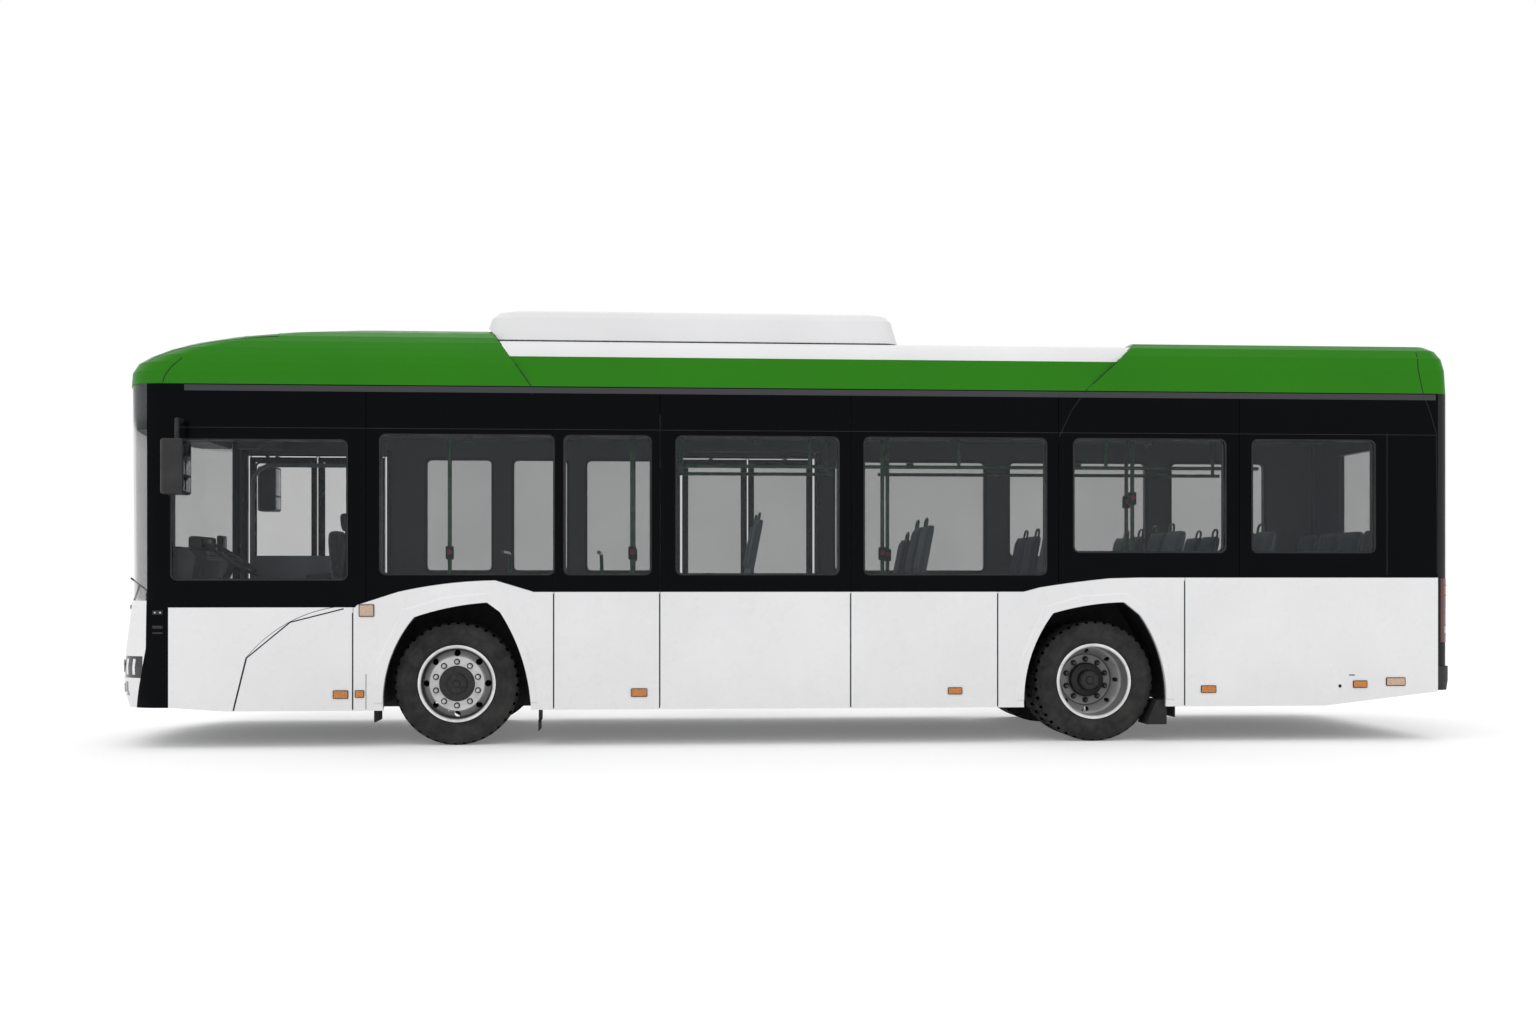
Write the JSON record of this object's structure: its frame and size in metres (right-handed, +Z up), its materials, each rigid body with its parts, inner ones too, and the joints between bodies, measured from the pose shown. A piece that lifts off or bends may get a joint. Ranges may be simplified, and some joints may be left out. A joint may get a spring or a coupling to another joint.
{
  "type": "city bus",
  "caption": "Two-axle low-floor city bus with two doorways of inward-gliding leaves, domed roof, roof pod and full seating.",
  "frame": {"origin": "Ground level under the middle of the body's bounding box; +X is the front of the bus, +Y its left side, +Z up.", "axes": "+X forwards, +Y to the driver's left, +Z up"},
  "size_m": [10.588, 3.14, 3.4],
  "materials": {
    "white_panel": "gloss",
    "green_panel": "gloss",
    "roof_panel": "satin",
    "black_gloss": "gloss",
    "glass": "gloss",
    "black_plastic": "matte",
    "dark_trim": "matte",
    "clear_plastic": "gloss",
    "red_plastic": "gloss",
    "amber_plastic": "gloss",
    "silver_wheel": "satin",
    "tyre": "matte",
    "cast": "matte",
    "steel": "satin",
    "floor_sheet": "matte",
    "lining": "satin",
    "seat_shell": "satin",
    "seat_fabric": "matte",
    "green_tube": "satin"
  },
  "bodies": {
    "body": {"side_walls": "lining", "skirt_panels": "white_panel", "glazing_bands": "black_gloss", "side_windows": "glass", "front_columns": "black_gloss", "front_mask": "white_panel", "front_lamps": "clear_plastic", "windscreen": "glass", "roof_front": "green_panel", "roof_rear": "green_panel", "roof_middle": "roof_panel", "roof_rails": "green_panel", "roof_pod": "roof_panel", "rear_wall": "black_gloss", "rear_window": "glass", "tail_lamps": "red_plastic", "rear_bumper": "black_plastic", "floor": "floor_sheet", "wheel_housings": "floor_sheet", "platforms": "floor_sheet", "frame_rails": "steel", "engine": "cast", "ceiling": "lining", "side_markers": "amber_plastic", "mirrors": "black_plastic", "wipers": "black_plastic", "destination_sign": "black_plastic", "dashboard": "dark_trim", "steering_wheel": "black_plastic", "driver_seat": "seat_fabric", "cab_partition": "green_panel", "seat_shells": "seat_shell", "seat_pads": "seat_fabric", "handrails": "green_tube", "front_axle": "cast", "rear_axle": "cast", "tow_sockets": "steel"},
    "door1_front_arm": {"arm_door1_front": "steel"},
    "door1_front_leaf": {"leaf_door1_front": "black_gloss", "glass_door1_front": "glass"},
    "door1_rear_arm": {"arm_door1_rear": "steel"},
    "door1_rear_leaf": {"leaf_door1_rear": "black_gloss", "glass_door1_rear": "glass"},
    "door2_front_arm": {"arm_door2_front": "steel"},
    "door2_front_leaf": {"leaf_door2_front": "black_gloss", "glass_door2_front": "glass"},
    "door2_rear_arm": {"arm_door2_rear": "steel"},
    "door2_rear_leaf": {"leaf_door2_rear": "black_gloss", "glass_door2_rear": "glass"},
    "knuckle_left": {"knuckle_left": "cast"},
    "front_wheel_left": {"rim_front_left": "silver_wheel", "tyre_front_left": "tyre"},
    "rear_wheels_left": {"rims_rear_left": "silver_wheel", "tyres_rear_left": "tyre"},
    "knuckle_right": {"knuckle_right": "cast"},
    "front_wheel_right": {"rim_front_right": "silver_wheel", "tyre_front_right": "tyre"},
    "rear_wheels_right": {"rims_rear_right": "silver_wheel", "tyres_rear_right": "tyre"},
    "engine_lid": {"engine_lid": "green_panel"}
  },
  "joints": [
    {"name": "door1_front_swing", "type": "hinge", "parent": "body", "child": "door1_front_arm", "pos_m": [4.801, -1.16, 1.389], "axis": [0, 0, -1], "range_deg": [0, 88]},
    {"name": "door1_front_fold", "type": "hinge", "parent": "door1_front_arm", "child": "door1_front_leaf", "pos_m": [4.4885, -1.16, 1.389], "axis": [0, 0, -1], "range_deg": [-176, 0]},
    {"name": "door1_rear_swing", "type": "hinge", "parent": "body", "child": "door1_rear_arm", "pos_m": [3.487, -1.16, 1.389], "axis": [0, 0, 1], "range_deg": [0, 88]},
    {"name": "door1_rear_fold", "type": "hinge", "parent": "door1_rear_arm", "child": "door1_rear_leaf", "pos_m": [3.7995, -1.16, 1.389], "axis": [0, 0, 1], "range_deg": [-176, 0]},
    {"name": "door2_front_swing", "type": "hinge", "parent": "body", "child": "door2_front_arm", "pos_m": [0.866, -1.16, 1.389], "axis": [0, 0, -1], "range_deg": [0, 88]},
    {"name": "door2_front_fold", "type": "hinge", "parent": "door2_front_arm", "child": "door2_front_leaf", "pos_m": [0.5535, -1.16, 1.389], "axis": [0, 0, -1], "range_deg": [-176, 0]},
    {"name": "door2_rear_swing", "type": "hinge", "parent": "body", "child": "door2_rear_arm", "pos_m": [-0.448, -1.16, 1.389], "axis": [0, 0, 1], "range_deg": [0, 88]},
    {"name": "door2_rear_fold", "type": "hinge", "parent": "door2_rear_arm", "child": "door2_rear_leaf", "pos_m": [-0.1355, -1.16, 1.389], "axis": [0, 0, 1], "range_deg": [-176, 0]},
    {"name": "steer_left", "type": "hinge", "parent": "body", "child": "knuckle_left", "pos_m": [2.594, 0.937, 0.475], "axis": [0, 0, 1], "range_deg": [-40, 40]},
    {"name": "front_wheel_left_spin", "type": "hinge", "parent": "knuckle_left", "child": "front_wheel_left", "pos_m": [2.594, 1.027, 0.475], "axis": [0, 1, 0], "continuous": true},
    {"name": "rear_wheels_left_spin", "type": "hinge", "parent": "body", "child": "rear_wheels_left", "pos_m": [-2.406, 0.894, 0.475], "axis": [0, 1, 0], "continuous": true},
    {"name": "steer_right", "type": "hinge", "parent": "body", "child": "knuckle_right", "pos_m": [2.594, -0.937, 0.475], "axis": [0, 0, 1], "range_deg": [-40, 40]},
    {"name": "front_wheel_right_spin", "type": "hinge", "parent": "knuckle_right", "child": "front_wheel_right", "pos_m": [2.594, -1.027, 0.475], "axis": [0, 1, 0], "continuous": true},
    {"name": "rear_wheels_right_spin", "type": "hinge", "parent": "body", "child": "rear_wheels_right", "pos_m": [-2.406, -0.894, 0.475], "axis": [0, 1, 0], "continuous": true},
    {"name": "engine_lid_hinge", "type": "hinge", "parent": "body", "child": "engine_lid", "pos_m": [-5.269, 0, 1.293], "axis": [0, 1, 0], "range_deg": [0, 75]}
  ],
  "couplings": [
    {"joint": "door1_front_fold", "follows": "door1_front_swing", "ratio": -2},
    {"joint": "door1_rear_fold", "follows": "door1_rear_swing", "ratio": -2},
    {"joint": "door2_front_fold", "follows": "door2_front_swing", "ratio": -2},
    {"joint": "door2_rear_fold", "follows": "door2_rear_swing", "ratio": -2},
    {"joint": "steer_right", "follows": "steer_left", "ratio": 1}
  ]
}
